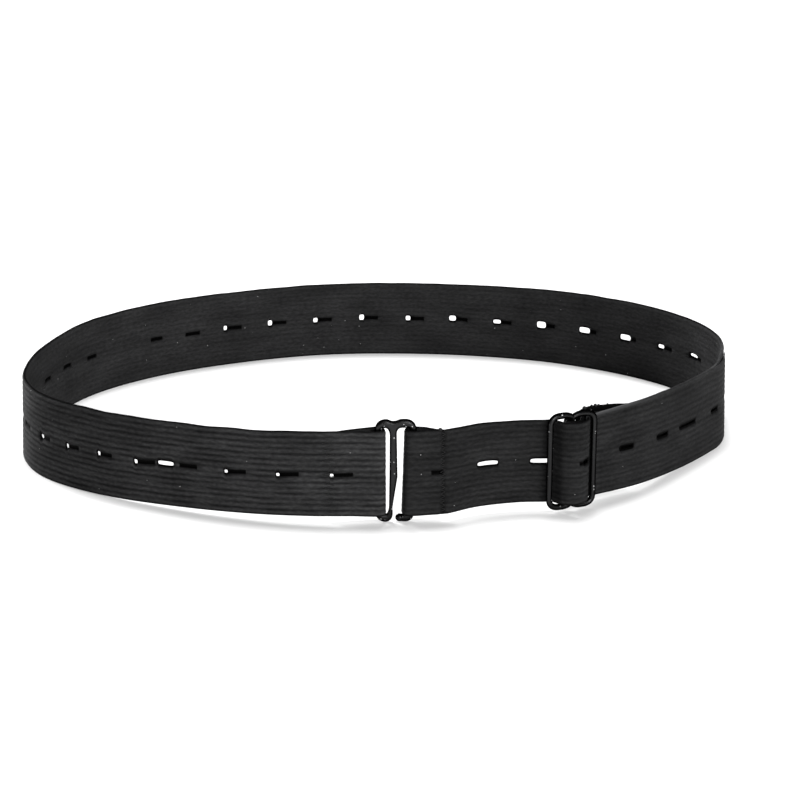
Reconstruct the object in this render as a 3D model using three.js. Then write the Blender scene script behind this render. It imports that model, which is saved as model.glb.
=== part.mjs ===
// A shirt tuck belt: a loop of black buttonhole elastic that stands on its lower edge, with a
// one-piece hook and a three-bar slider in front. Millimetres, +Z up, the front faces -Y.
import * as THREE from "three";
import { mergeVertices } from "three/addons/utils/BufferGeometryUtils.js";

// Driving dimensions of the elastic. Fourteen ribs lie along it at a pitch of a fifteenth of its
// width, and the place of the middle one is left flat for the buttonholes.
const ELASTIC_THICKNESS = 1.2;
const RIB_PITCHES = 15;
const RIB_DEPTH = 0.12;
const LAYER_GAP = 0.3;
const LAYER_STEP = ELASTIC_THICKNESS + LAYER_GAP;
const FOLD_SQUARENESS = 0.75;
const FOLD_EASE = 0.12;
const TAIL_EASE = 0.25;

// Buttonholes: a slit along the middle of the elastic. An open one pushes the ribs beside it
// apart, and they are straight again at SLIT_REACH from it.
const SLIT_WIDE = 2.1;
const SLIT_OPEN = 1.7;
const SLIT_DOT = 1.3;
const SLIT_SHUT = 0.4;
const SLIT_REACH = 6;

// How finely a curved stretch of elastic is faceted
const DIVISIONS_PER_ROW = 40;
const MAX_TURN = THREE.MathUtils.degToRad(30);
const MAX_STEP = 13;
const MAX_BULGE = 0.36;
const SHORTEST_STEP = 0.5;

// Driving dimensions of the metal parts
const METAL_DEPTH = 1.6;
const METAL_ROUNDING = 0.3;
const SLIDER_HEIGHT = 29;
const SLIDER_REACH = 7.5;
const SLIDER_BAR = 1.7;
const SLIDER_RIM = 1.9;
const SLIDER_LOBE = 3.8;
const SLIDER_LOBE_DIP = 1.1;
const SLIDER_SHOULDER = 3;
const SLIDER_CORNER = 0.5;

// The hook's outline, from its middle line and its foot. The open bar on the right slants, so the
// elastic on it does too, by HOOK_SLANT mm to the right for each mm of height.
const HOOK = {
  top: 29.6,
  topDip: 29.1,
  slotHead: 27.55,
  slotFoot: 2.05,
  leftOuter: -5.9,
  leftInner: -4.6,
  centreLeft: -1.93,
  centreRight: 0.06,
  centreFootLeft: -2.1,
  centreFootRight: -1.35,
  taperStart: 15.5,
  openHeadInner: 3.7,
  openHeadOuter: 5.6,
  openFootInner: 2.9,
  openFootOuter: 4.75,
  curlThroat: 1.7,
};
const HOOK_BALL = { along: 0.55, height: 1.5, radius: 0.85 };
const HOOK_SLANT = 0.033;

// Where the metal parts stand, and how far each is turned from the X axis, in degrees
const HOOK_PLACE = { x: 5.9, y: -74.5, z: 0, turn: 3 };
const SLIDER_PLACE = { x: 54.7, y: -65.8, z: 0.4, turn: 20.3 };

// The bars that elastic is folded round: the middle of each along its part, its width and depth
const HOOK_LEFT_BAR = {
  along: (HOOK.leftOuter + HOOK.leftInner) / 2,
  width: HOOK.leftInner - HOOK.leftOuter,
  depth: METAL_DEPTH,
};
const HOOK_RIGHT_BAR = { along: 4.2, width: 1.9, depth: METAL_DEPTH };
const SLIDER_CENTRE_BAR = { along: 0, width: SLIDER_BAR, depth: METAL_DEPTH };
const SLIDER_SIDE_BAR = SLIDER_REACH - SLIDER_BAR / 2;

// Plan of the main band from the left of the hook, round the back, to the right of the slider:
// its middle line, the height of its lower edge above the floor, its width there, and how far
// its upper edge leans inward past its lower one.
const MAIN_BAND_PLAN = [
  { x: -31.7, y: -73.6, low: 1.9, width: 24.7, lean: 0 },
  { x: -55.2, y: -65.9, low: 1.1, width: 25.0, lean: 0.2 },
  { x: -79.2, y: -54.2, low: 0.3, width: 25.4, lean: 0.5 },
  { x: -97, y: -39.4, low: 0, width: 25.4, lean: 0.9 },
  { x: -104.1, y: -25.3, low: 0, width: 25.2, lean: 1.2 },
  { x: -105.5, y: -9.3, low: 0, width: 25, lean: 0.9 },
  { x: -102.6, y: 9.7, low: 0, width: 24.6, lean: 0.4 },
  { x: -92.2, y: 33.2, low: 0, width: 25, lean: 0 },
  { x: -72.2, y: 52.7, low: 0, width: 25, lean: 0 },
  { x: -46.7, y: 66.4, low: 0, width: 24.8, lean: 0 },
  { x: -20.2, y: 74.6, low: 0, width: 24.8, lean: 0 },
  { x: 6.8, y: 76.2, low: 0, width: 24.9, lean: 0 },
  { x: 33.8, y: 73.2, low: 0, width: 24.9, lean: 0 },
  { x: 60.3, y: 65.2, low: 0, width: 25.3, lean: 0 },
  { x: 85.1, y: 49.9, low: 0, width: 25.4, lean: 0 },
  { x: 99.3, y: 33.7, low: 0, width: 25.2, lean: 0 },
  { x: 104.6, y: 15.7, low: 0, width: 25, lean: 0.4 },
  { x: 103.5, y: -0.3, low: 0, width: 25, lean: 0.8 },
  { x: 101.1, y: -12.1, low: 0, width: 25, lean: 0.9 },
  { x: 87.4, y: -32.8, low: 0.5, width: 24.6, lean: 0.4 },
  { x: 71.9, y: -51.1, low: 2, width: 24.1, lean: 0 },
];
// Plan of the strap between the slider and the hook
const STRAP_PLAN = [
  { x: 41.5, y: -66.5, low: 2.7, width: 24.3 },
  { x: 32, y: -68.4, low: 2.6, width: 24.4 },
  { x: 25.2, y: -71, low: 2.5, width: 24.6 },
];
// The strap's tail lies outside the last stretch of the main band's plan, to just past the bend.
const TAIL_LENGTH = 64;
const TAIL_STEP = 8;

// Runs of buttonholes: the middle of the first, the step between them, how many, how long each
// is, and how far it is open at its two ends, in the direction in which the elastic runs.
const MAIN_BAND_SLITS = [
  { first: 28.8, step: 15, count: 3, length: 7.4, openStart: SLIT_SHUT, openEnd: SLIT_DOT },
  { first: 73.3, step: 0, count: 1, length: 5.2, openStart: SLIT_SHUT, openEnd: SLIT_SHUT },
  { first: 80.4, step: 0, count: 1, length: 5.2, openStart: SLIT_OPEN, openEnd: SLIT_OPEN },
  { first: 87.2, step: 0, count: 1, length: 6.8, openStart: SLIT_SHUT, openEnd: SLIT_DOT },
  { first: 100.7, step: 12.1, count: 4, length: 5.2, openStart: SLIT_SHUT, openEnd: SLIT_DOT },
  { first: 150, step: 13.4, count: 8, length: 5, openStart: SLIT_SHUT, openEnd: SLIT_SHUT },
  { first: 258, step: 15.65, count: 5, length: 6.2, openStart: SLIT_OPEN, openEnd: SLIT_SHUT },
  { first: 335.4, step: 15.05, count: 7, length: 6.2, openStart: SLIT_WIDE, openEnd: SLIT_SHUT },
  { first: 441.8, step: 15.2, count: 6, length: 6, openStart: SLIT_SHUT, openEnd: SLIT_SHUT },
];
const STRAP_SLITS = [
  { first: 4.9, step: 15.8, count: 5, length: 6.2, openStart: SLIT_DOT, openEnd: SLIT_DOT },
  { first: 86.4, step: 15.1, count: 3, length: 6.2, openStart: SLIT_OPEN, openEnd: SLIT_OPEN },
  { first: 131.7, step: 0, count: 1, length: 6.2, openStart: SLIT_SHUT, openEnd: SLIT_SHUT },
];

// A point in plan, given along a metal part and outward from its middle plane.
function beside(place, along, outward) {
  const turn = THREE.MathUtils.degToRad(place.turn);
  return {
    x: place.x + along * Math.cos(turn) + outward * Math.sin(turn),
    y: place.y + along * Math.sin(turn) - outward * Math.cos(turn),
  };
}

// Stations of elastic folded round a bar. The fold bulges towards bulge (+1 or -1 along the part)
// and runs from the inner side to the outer side, or the other way with outerFirst.
function foldRound(place, bar, { bulge, outerFirst }, height) {
  const clear = LAYER_GAP + FOLD_EASE + ELASTIC_THICKNESS / 2;
  const alongRadius = bar.width / 2 + clear;
  const outwardRadius = bar.depth / 2 + clear;
  const squared = (value) => Math.sign(value) * Math.abs(value) ** FOLD_SQUARENESS;
  const rows = [];
  for (let angle = -90; angle <= 90; angle += 30) {
    const turned = THREE.MathUtils.degToRad(outerFirst ? -angle : angle);
    rows.push({
      along: bar.along + bulge * alongRadius * squared(Math.cos(turned)),
      outward: outwardRadius * squared(Math.sin(turned)),
    });
  }
  return stationsBeside(place, rows, height);
}

// Stations beside a metal part from rows of along and outward distances.
function stationsBeside(place, rows, height) {
  return rows.map((row) => ({ ...beside(place, row.along, row.outward), ...height }));
}

// The curve through a list of stations, with the width, slant and lean of the elastic along it.
// Elastic runs clockwise seen from above, so its outer face is on the left of its path.
class BandPath {
  constructor(stations) {
    this.stations = stations;
    const points = stations.map((s) => new THREE.Vector3(s.x, s.y, s.low));
    this.curve = new THREE.CatmullRomCurve3(points, false, "centripetal");
    this.curve.arcLengthDivisions = DIVISIONS_PER_ROW * (stations.length - 1);
    this.length = this.curve.getLength();
  }

  distanceOf(station) {
    return this.curve.getLengths()[DIVISIONS_PER_ROW * this.stations.indexOf(station)];
  }

  at(distance) {
    const share = THREE.MathUtils.clamp(distance / this.length, 0, 1);
    const t = this.curve.getUtoTmapping(share);
    const point = this.curve.getPoint(t);
    const tangent = this.curve.getTangent(t).setZ(0).normalize();
    const row = t * (this.stations.length - 1);
    const before = Math.min(Math.floor(row), this.stations.length - 2);
    const between = (from, to) => THREE.MathUtils.lerp(from, to, row - before);
    const [a, b] = this.stations.slice(before, before + 2);
    return {
      point,
      tangent,
      outward: new THREE.Vector3(-tangent.y, tangent.x, 0),
      low: Math.max(0, point.z),
      width: between(a.width, b.width),
      slant: between(a.slant ?? 0, b.slant ?? 0),
      lean: between(a.lean ?? 0, b.lean ?? 0),
    };
  }
}

// Stations of a layer that lies against the outside of another path between two distances.
function layerOutside(path, from, to) {
  const count = Math.ceil((to - from) / TAIL_STEP);
  return Array.from({ length: count + 1 }, (_, i) => {
    const { point, outward, low, width, lean } = path.at(from + ((to - from) * i) / count);
    point.addScaledVector(outward, LAYER_STEP + TAIL_EASE);
    return { x: point.x, y: point.y, low, width, lean };
  });
}

// Every slit of a piece as its two ends along the path.
function slitList(runs) {
  return runs.flatMap((run) =>
    Array.from({ length: run.count }, (_, i) => {
      const middle = run.first + i * run.step;
      return {
        start: middle - run.length / 2,
        end: middle + run.length / 2,
        openStart: run.openStart,
        openEnd: run.openEnd,
      };
    }),
  );
}

// Distances of the cross sections: both ends of the path and of each slit, with more between
// them wherever the path turns or the step is long.
function sectionDistances(path, slits) {
  const marks = [0, ...slits.flatMap((slit) => [slit.start, slit.end]), path.length];
  const distances = [0];
  const divide = (from, to) => {
    const start = path.at(from).tangent;
    const turns = [0.25, 0.5, 0.75, 1].map((share) =>
      start.angleTo(path.at(THREE.MathUtils.lerp(from, to, share)).tangent),
    );
    const turn = Math.max(...turns);
    const sharp = turn > MAX_TURN && to - from > SHORTEST_STEP;
    if (sharp || to - from > MAX_STEP || ((to - from) * turn) / 8 > MAX_BULGE) {
      divide(from, (from + to) / 2);
      divide((from + to) / 2, to);
    } else {
      distances.push(to);
    }
  };
  for (let i = 1; i < marks.length; i++) divide(marks[i - 1], marks[i]);
  return distances;
}

// Rows of points up the outer face: the ribs as crests and valleys, and flat beside the slit.
function ribbedRows() {
  const rows = [];
  for (let half = 0; half <= 2 * RIB_PITCHES; half++) {
    const share = half / (2 * RIB_PITCHES);
    if (half === RIB_PITCHES) rows.push({ slitSide: -1 }, { slitSide: 1 });
    else rows.push({ share, raised: half % 2 === 1 });
  }
  return rows;
}

const OUTER_ROWS = ribbedRows();
const INNER_ROWS = [{ share: 0 }, { slitSide: -1 }, { slitSide: 1 }, { share: 1 }];
const outerSlitRow = OUTER_ROWS.findIndex((row) => row.slitSide === -1);
const innerSlitRow = INNER_ROWS.findIndex((row) => row.slitSide === -1);

// A strip of elastic swept along its path, with its slits cut through.
function elasticStrip(path, slits) {
  const positions = [];
  const triangles = [];
  const triangle = (a, b, c) => triangles.push(a.vertex, b.vertex, c.vertex);
  const quad = (a, b, c, d) => {
    triangle(a, b, c);
    triangle(a, c, d);
  };

  const openingAt = (distance) => {
    const slit = slits.find((s) => distance >= s.start - 1e-6 && distance <= s.end + 1e-6);
    if (!slit) return SLIT_SHUT;
    const share = (distance - slit.start) / (slit.end - slit.start);
    return THREE.MathUtils.lerp(slit.openStart, slit.openEnd, share);
  };

  // Each section is its outer rows from the lower edge up, then its inner rows likewise. A row is
  // a vertex, with how far out from the middle line and how high it lies.
  const sections = sectionDistances(path, slits).map((distance) => {
    const { point, outward, low, width, slant, lean } = path.at(distance);
    const opening = openingAt(distance);
    const middleHeight = low + width / 2;
    const pushedFromSlit = (away) => {
      const near = Math.max(0, 1 - Math.abs(away) / SLIT_REACH);
      return away + (Math.sign(away) * (opening - SLIT_SHUT) * near ** 2) / 2;
    };
    const column = (rows, side) =>
      rows.map((row) => {
        const away = row.slitSide ? (row.slitSide * SLIT_SHUT) / 2 : (row.share - 0.5) * width;
        const upward = pushedFromSlit(away);
        const z = middleHeight + upward;
        const hollow = side > 0 && !row.raised ? RIB_DEPTH : 0;
        const reach = side * (ELASTIC_THICKNESS / 2) - hollow - (lean * upward) / width;
        positions.push(point.x + outward.x * reach + slant * upward, point.y + outward.y * reach, z);
        return { vertex: positions.length / 3 - 1, flat: new THREE.Vector2(reach, z) };
      });
    return { distance, outer: column(OUTER_ROWS, 1), inner: column(INNER_ROWS, -1) };
  });

  for (let i = 1; i < sections.length; i++) {
    const a = sections[i - 1];
    const b = sections[i];
    const middle = (a.distance + b.distance) / 2;
    const slit = slits.find((s) => middle > s.start && middle < s.end);
    for (let r = 1; r < OUTER_ROWS.length; r++) {
      if (slit && r - 1 === outerSlitRow) continue;
      quad(a.outer[r - 1], a.outer[r], b.outer[r], b.outer[r - 1]);
    }
    for (let r = 1; r < INNER_ROWS.length; r++) {
      if (slit && r - 1 === innerSlitRow) continue;
      quad(a.inner[r], a.inner[r - 1], b.inner[r - 1], b.inner[r]);
    }
    quad(a.inner[0], a.outer[0], b.outer[0], b.inner[0]);
    quad(a.outer.at(-1), a.inner.at(-1), b.inner.at(-1), b.outer.at(-1));
    if (!slit) continue;
    const edges = (s) => ({
      outerLow: s.outer[outerSlitRow],
      outerHigh: s.outer[outerSlitRow + 1],
      innerLow: s.inner[innerSlitRow],
      innerHigh: s.inner[innerSlitRow + 1],
    });
    const from = edges(a);
    const to = edges(b);
    quad(from.outerLow, from.innerLow, to.innerLow, to.outerLow);
    quad(from.innerHigh, from.outerHigh, to.outerHigh, to.innerHigh);
    if (Math.abs(a.distance - slit.start) < 1e-6)
      quad(from.innerLow, from.outerLow, from.outerHigh, from.innerHigh);
    if (Math.abs(b.distance - slit.end) < 1e-6)
      quad(to.outerLow, to.innerLow, to.innerHigh, to.outerHigh);
  }

  // Each cut end is closed by a flat face.
  const closeEnd = (section, facesBack) => {
    const rim = [...section.outer, ...section.inner.toReversed()];
    const outline = rim.map((row) => row.flat);
    for (const [a, b, c] of THREE.ShapeUtils.triangulateShape(outline, [])) {
      if (facesBack) triangle(rim[a], rim[c], rim[b]);
      else triangle(rim[a], rim[b], rim[c]);
    }
  };
  closeEnd(sections[0], true);
  closeEnd(sections.at(-1), false);

  const geometry = new THREE.BufferGeometry();
  geometry.setAttribute("position", new THREE.Float32BufferAttribute(positions, 3));
  geometry.setIndex(triangles);
  geometry.computeVertexNormals();
  return geometry;
}

// The height of the elastic beside each metal part
const AT_HOOK = { low: 2.35, width: 24.9 };
const AT_SLIDER = { low: 2.75, width: 24.35 };
const AT_LOOSE_END = { low: 2, width: 24.2 };
const AT_RAW_END = { low: 2.5, width: 24.3 };

function mainBandPath() {
  const rawEnd = [{ along: -18.6, outward: -LAYER_STEP / 2 }];
  const sewnEnd = [
    { along: -13, outward: -1 },
    { along: -8, outward: -1.6 },
  ];
  const outerLayer = [
    { along: -8, outward: 1.6 },
    { along: -13, outward: 1 },
    { along: -19.5, outward: LAYER_STEP / 2 },
  ];
  const overCentreBar = [
    { along: 10.2, outward: -4 },
    { along: 6.65, outward: -3.3 },
    { along: 4.5, outward: -2.7 },
    { along: 3, outward: -0.2 },
    { along: 2, outward: 1.3 },
  ];
  const looseEnd = [
    { along: 2, outward: -2.9 },
    { along: 4.4, outward: -5.2 },
    { along: 7.2, outward: -7.3 },
    { along: 11.6, outward: -8.5 },
  ];
  const cutEnd = [
    { along: 16, outward: -8.7 },
    { along: 22, outward: -9.7 },
  ];
  return new BandPath([
    ...stationsBeside(HOOK_PLACE, rawEnd, AT_RAW_END),
    ...stationsBeside(HOOK_PLACE, sewnEnd, AT_HOOK),
    ...foldRound(HOOK_PLACE, HOOK_LEFT_BAR, { bulge: 1, outerFirst: false }, AT_HOOK),
    ...stationsBeside(HOOK_PLACE, outerLayer, AT_HOOK),
    ...MAIN_BAND_PLAN,
    ...stationsBeside(SLIDER_PLACE, overCentreBar, AT_SLIDER),
    ...foldRound(SLIDER_PLACE, SLIDER_CENTRE_BAR, { bulge: -1, outerFirst: true }, AT_SLIDER),
    ...stationsBeside(SLIDER_PLACE, looseEnd, AT_SLIDER),
    ...stationsBeside(SLIDER_PLACE, cutEnd, AT_LOOSE_END),
  ]);
}

function strapPath(mainPath) {
  const throughSlider = [
    { along: 11, outward: -2.5 },
    { along: SLIDER_SIDE_BAR, outward: -1.75 },
    { along: 5.4, outward: -1.5 },
    { along: 4.6, outward: 0.1 },
    { along: 3.5, outward: 2 },
    { along: 0, outward: 3.4 },
    { along: -3.3, outward: 2 },
    { along: -4.4, outward: 0 },
    { along: -5.4, outward: -1.5 },
    { along: -SLIDER_SIDE_BAR, outward: -1.75 },
  ];
  const outerLayer = [
    { along: 13.5, outward: LAYER_STEP / 2 },
    { along: 9.5, outward: 1.2 },
    { along: 6, outward: 1.7 },
  ];
  const sewnEnd = [
    { along: 6, outward: -1.8 },
    { along: 9.5, outward: -1.2 },
  ];
  const rawEnd = [{ along: 12.9, outward: -LAYER_STEP / 2 }];
  const slanted = { ...AT_HOOK, slant: HOOK_SLANT };
  const tailEnd = mainPath.distanceOf(MAIN_BAND_PLAN.at(-1));
  return new BandPath([
    ...layerOutside(mainPath, tailEnd - TAIL_LENGTH, tailEnd),
    ...stationsBeside(SLIDER_PLACE, throughSlider, AT_SLIDER),
    ...STRAP_PLAN,
    ...stationsBeside(HOOK_PLACE, outerLayer, AT_HOOK),
    ...foldRound(HOOK_PLACE, HOOK_RIGHT_BAR, { bulge: -1, outerFirst: true }, slanted),
    ...stationsBeside(HOOK_PLACE, sewnEnd, AT_HOOK),
    ...stationsBeside(HOOK_PLACE, rawEnd, AT_RAW_END),
  ]);
}

// A flat outline cast in metal with rounded edges, standing upright at its place.
function castMetal(shape, place) {
  const extruded = new THREE.ExtrudeGeometry(shape, {
    depth: METAL_DEPTH - 2 * METAL_ROUNDING,
    bevelThickness: METAL_ROUNDING,
    bevelSize: METAL_ROUNDING,
    bevelOffset: -METAL_ROUNDING,
    bevelSegments: 1,
    curveSegments: 5,
  });
  extruded.deleteAttribute("normal");
  extruded.deleteAttribute("uv");
  const geometry = mergeVertices(extruded, 1e-3);
  geometry.computeVertexNormals();
  geometry.translate(0, 0, METAL_ROUNDING - METAL_DEPTH / 2);
  geometry.rotateX(Math.PI / 2);
  geometry.rotateZ(THREE.MathUtils.degToRad(place.turn));
  geometry.translate(place.x, place.y, place.z);
  return geometry;
}

// The hook: a closed loop on the left, a tapered centre bar, and on the right an open bar that
// curls under the strap and ends in a ball. The slot on the left is the closed loop's.
function hookShape() {
  const h = HOOK;
  const shape = new THREE.Shape();
  shape.moveTo(h.leftOuter, 3.2);
  shape.lineTo(h.leftOuter, h.top - 3.2);
  shape.quadraticCurveTo(h.leftOuter, h.top, h.leftOuter + 2.5, h.top);
  shape.quadraticCurveTo(-1.9, h.top, -0.7, h.topDip);
  shape.quadraticCurveTo(0.5, h.top, 1.6, h.top);
  shape.lineTo(h.openHeadOuter - 2.2, h.top);
  shape.quadraticCurveTo(h.openHeadOuter, h.top, h.openHeadOuter, h.top - 2.6);
  shape.lineTo(h.openFootOuter, 3.4);
  shape.quadraticCurveTo(h.openFootOuter - 0.25, 0, 2.3, 0);
  shape.quadraticCurveTo(1.1, 0, 0.35, 0.67);
  shape.absarc(HOOK_BALL.along, HOOK_BALL.height, HOOK_BALL.radius, -1.8, -5.05, true);
  shape.lineTo(1.7, h.curlThroat + 0.1);
  shape.lineTo(2.2, h.curlThroat);
  shape.quadraticCurveTo(h.openFootInner, h.curlThroat, h.openFootInner, 2.6);
  shape.lineTo(h.openHeadInner, h.slotHead - 0.55);
  shape.quadraticCurveTo(h.openHeadInner, h.slotHead, h.openHeadInner - 0.6, h.slotHead);
  shape.lineTo(h.centreRight + 1.24, h.slotHead);
  shape.quadraticCurveTo(h.centreRight, h.slotHead, h.centreRight, h.slotHead - 1.25);
  shape.lineTo(h.centreRight, h.taperStart);
  shape.lineTo(h.centreFootRight, 2.9);
  shape.quadraticCurveTo(h.centreFootRight - 0.25, 0, h.centreFootRight - 1.25, 0);
  shape.lineTo(h.leftOuter + 2.3, 0);
  shape.quadraticCurveTo(h.leftOuter + 0.3, 0.2, h.leftOuter, 3.2);

  const slot = new THREE.Path();
  slot.moveTo(h.leftInner, h.slotFoot + 0.5);
  slot.quadraticCurveTo(h.leftInner, h.slotFoot, h.leftInner + 0.5, h.slotFoot);
  slot.lineTo(h.centreFootLeft - 0.9, h.slotFoot);
  slot.quadraticCurveTo(h.centreFootLeft, h.slotFoot, h.centreFootLeft, h.slotFoot + 0.85);
  slot.lineTo(h.centreLeft, h.taperStart);
  slot.lineTo(h.centreLeft, h.slotHead - 1.05);
  slot.quadraticCurveTo(h.centreLeft, h.slotHead, h.centreLeft - 1.07, h.slotHead);
  slot.lineTo(h.leftInner + 0.5, h.slotHead);
  slot.quadraticCurveTo(h.leftInner, h.slotHead, h.leftInner, h.slotHead - 0.5);
  shape.holes.push(slot);
  return shape;
}

// The slider: three upright bars joined at each end by two round lobes, with a hole on each side
// of the centre bar.
function sliderShape() {
  const top = SLIDER_HEIGHT;
  const reach = SLIDER_REACH;
  const shape = new THREE.Shape();
  shape.moveTo(-reach, top - SLIDER_SHOULDER);
  shape.lineTo(-reach, SLIDER_SHOULDER);
  shape.quadraticCurveTo(-reach + 0.2, 0, -SLIDER_LOBE, 0);
  shape.quadraticCurveTo(-1.6, 0, 0, SLIDER_LOBE_DIP);
  shape.quadraticCurveTo(1.6, 0, SLIDER_LOBE, 0);
  shape.quadraticCurveTo(reach - 0.2, 0, reach, SLIDER_SHOULDER);
  shape.lineTo(reach, top - SLIDER_SHOULDER);
  shape.quadraticCurveTo(reach - 0.2, top, SLIDER_LOBE, top);
  shape.quadraticCurveTo(1.6, top, 0, top - SLIDER_LOBE_DIP);
  shape.quadraticCurveTo(-1.6, top, -SLIDER_LOBE, top);
  shape.quadraticCurveTo(-reach + 0.2, top, -reach, top - SLIDER_SHOULDER);

  const far = reach - SLIDER_BAR;
  const near = SLIDER_BAR / 2;
  const foot = SLIDER_RIM;
  const head = SLIDER_HEIGHT - SLIDER_RIM;
  for (const side of [-1, 1]) {
    const hole = new THREE.Path();
    hole.moveTo(side * far, foot + SLIDER_CORNER);
    hole.lineTo(side * far, head - SLIDER_CORNER);
    hole.lineTo(side * (far - SLIDER_CORNER), head);
    hole.lineTo(side * (near + SLIDER_CORNER / 2), head);
    hole.lineTo(side * near, head - SLIDER_CORNER / 2);
    hole.lineTo(side * near, foot + SLIDER_CORNER / 2);
    hole.lineTo(side * (near + SLIDER_CORNER / 2), foot);
    hole.lineTo(side * (far - SLIDER_CORNER), foot);
    shape.holes.push(hole);
  }
  return shape;
}

const blackElastic = new THREE.MeshStandardMaterial({ color: 0x2b2b2b, roughness: 0.85 });
const blackEnamel = new THREE.MeshStandardMaterial({
  color: 0x161616,
  roughness: 0.25,
  metalness: 0.5,
});

function namedMesh(name, geometry, material) {
  const mesh = new THREE.Mesh(geometry, material);
  mesh.name = name;
  return mesh;
}

const belt = new THREE.Group();
const mainPath = mainBandPath();
const mainBand = elasticStrip(mainPath, slitList(MAIN_BAND_SLITS));
const frontStrap = elasticStrip(strapPath(mainPath), slitList(STRAP_SLITS));
belt.add(
  namedMesh("main_band", mainBand, blackElastic),
  namedMesh("front_strap", frontStrap, blackElastic),
  namedMesh("hook_clasp", castMetal(hookShape(), HOOK_PLACE), blackEnamel),
  namedMesh("slide_adjuster", castMetal(sliderShape(), SLIDER_PLACE), blackEnamel),
);

// The origin is on the floor under the middle of the belt.
const middle = new THREE.Box3().setFromObject(belt).getCenter(new THREE.Vector3());
belt.position.set(-middle.x, -middle.y, 0);

export default belt;
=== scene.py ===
# %% [markdown]
# # A shirt tuck belt
# The belt is a loop of black buttonhole elastic, 25 mm wide, that stands on its lower edge. A cast
# hook and a three-bar slider join its two pieces of elastic in front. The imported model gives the
# place of every part, so this lesson only adds the looks: ribs, buttonholes, stitches and enamel.

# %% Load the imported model
import math
from bisect import bisect_right
from collections import namedtuple

import bmesh
import bpy
from mathutils import Matrix, Vector, noise


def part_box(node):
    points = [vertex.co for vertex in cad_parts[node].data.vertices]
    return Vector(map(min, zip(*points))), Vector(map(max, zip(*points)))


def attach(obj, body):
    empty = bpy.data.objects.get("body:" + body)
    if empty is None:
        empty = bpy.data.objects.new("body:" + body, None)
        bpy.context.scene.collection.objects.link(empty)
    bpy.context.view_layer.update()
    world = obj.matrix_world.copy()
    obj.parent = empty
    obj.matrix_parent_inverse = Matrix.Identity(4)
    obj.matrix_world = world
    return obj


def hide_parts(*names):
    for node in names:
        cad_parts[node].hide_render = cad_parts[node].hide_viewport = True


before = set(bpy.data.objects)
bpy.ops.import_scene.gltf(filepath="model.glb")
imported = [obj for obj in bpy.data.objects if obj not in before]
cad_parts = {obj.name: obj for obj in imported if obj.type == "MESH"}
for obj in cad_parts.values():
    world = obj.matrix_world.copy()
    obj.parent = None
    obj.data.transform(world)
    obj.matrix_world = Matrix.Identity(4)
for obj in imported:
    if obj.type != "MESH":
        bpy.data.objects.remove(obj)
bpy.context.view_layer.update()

MM = 0.001
print("packed nodes:", sorted(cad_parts))

# %% [markdown]
# ## Camera, floor and light
# The belt is seen from the front and a little above, from about 65 cm, through a long lens. A
# lens shift could frame it too, but a plain tilted camera keeps the perspective of a real one.

# %% The camera
CAMERA_PLACE = (0.006804, -0.65816, 0.239)
CAMERA_TILT = math.radians(70.8)
CAMERA_LENS = 102.15
SENSOR_WIDTH = 36

camera = bpy.data.objects.new("camera", bpy.data.cameras.new("camera"))
camera.data.lens = CAMERA_LENS
camera.data.sensor_width = SENSOR_WIDTH
camera.location = CAMERA_PLACE
camera.rotation_euler = (CAMERA_TILT, 0, 0)
bpy.context.collection.objects.link(camera)
bpy.context.scene.camera = camera
bpy.context.scene.view_settings.view_transform = "Standard"


# %% [markdown]
# Shader nodes are easiest to read when each is one call that names its settings and what goes in.
# This helper makes a node, and links an input where it is given another node's output.

# %% A helper for shader nodes
def add_node(tree, kind, inputs=None, **settings):
    node = tree.nodes.new(kind)
    for name, value in settings.items():
        setattr(node, name, value)
    for name, value in (inputs or {}).items():
        if isinstance(value, bpy.types.NodeSocket):
            tree.links.new(value, node.inputs[name])
        else:
            node.inputs[name].default_value = value
    return node


def math_node(tree, operation, *values):
    node = add_node(tree, "ShaderNodeMath", dict(enumerate(values)), operation=operation)
    return node.outputs[0]


def mix_colour(tree, factor, first, second, blend_type="MIX"):
    inputs = {0: factor, 6: first, 7: second}
    node = add_node(tree, "ShaderNodeMix", inputs, data_type="RGBA", blend_type=blend_type)
    return node.outputs[2]


def remap(tree, value, from_min, from_max, to_min, to_max):
    inputs = {0: value, 1: from_min, 2: from_max, 3: to_min, 4: to_max}
    return add_node(tree, "ShaderNodeMapRange", inputs).outputs[0]


def new_material(name):
    material = bpy.data.materials.new(name)
    material.use_nodes = True
    tree = material.node_tree
    shader = tree.nodes["Principled BSDF"]
    return material, tree, shader


# %% [markdown]
# A black thing on white is lit by its surroundings more than by a lamp. The floor glows a little,
# as a lit acrylic table does, which keeps it white right up to the belt and its shadows faint.
# Only the camera sees the glow and the full white, so the elastic keeps its light and dark sides.
# Far off the lamps fade, and the glow takes over from them.

# %% The floor
FLOOR_SIZE = 12
FLOOR_SEEN = (0.2, 0.2, 0.2, 1)
FLOOR_CAST = (0.15, 0.15, 0.15, 1)
GLOW_HERE = 0.38
GLOW_FAR_OFF = 1.0
LAMPS_FADE_FROM, LAMPS_FADE_TO = 0.6, 1.8

floor_mesh = bmesh.new()
bmesh.ops.create_grid(floor_mesh, x_segments=1, y_segments=1, size=FLOOR_SIZE / 2)
floor = bpy.data.objects.new("floor", bpy.data.meshes.new("floor"))
floor_mesh.to_mesh(floor.data)
floor_mesh.free()
bpy.context.collection.objects.link(floor)

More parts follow.
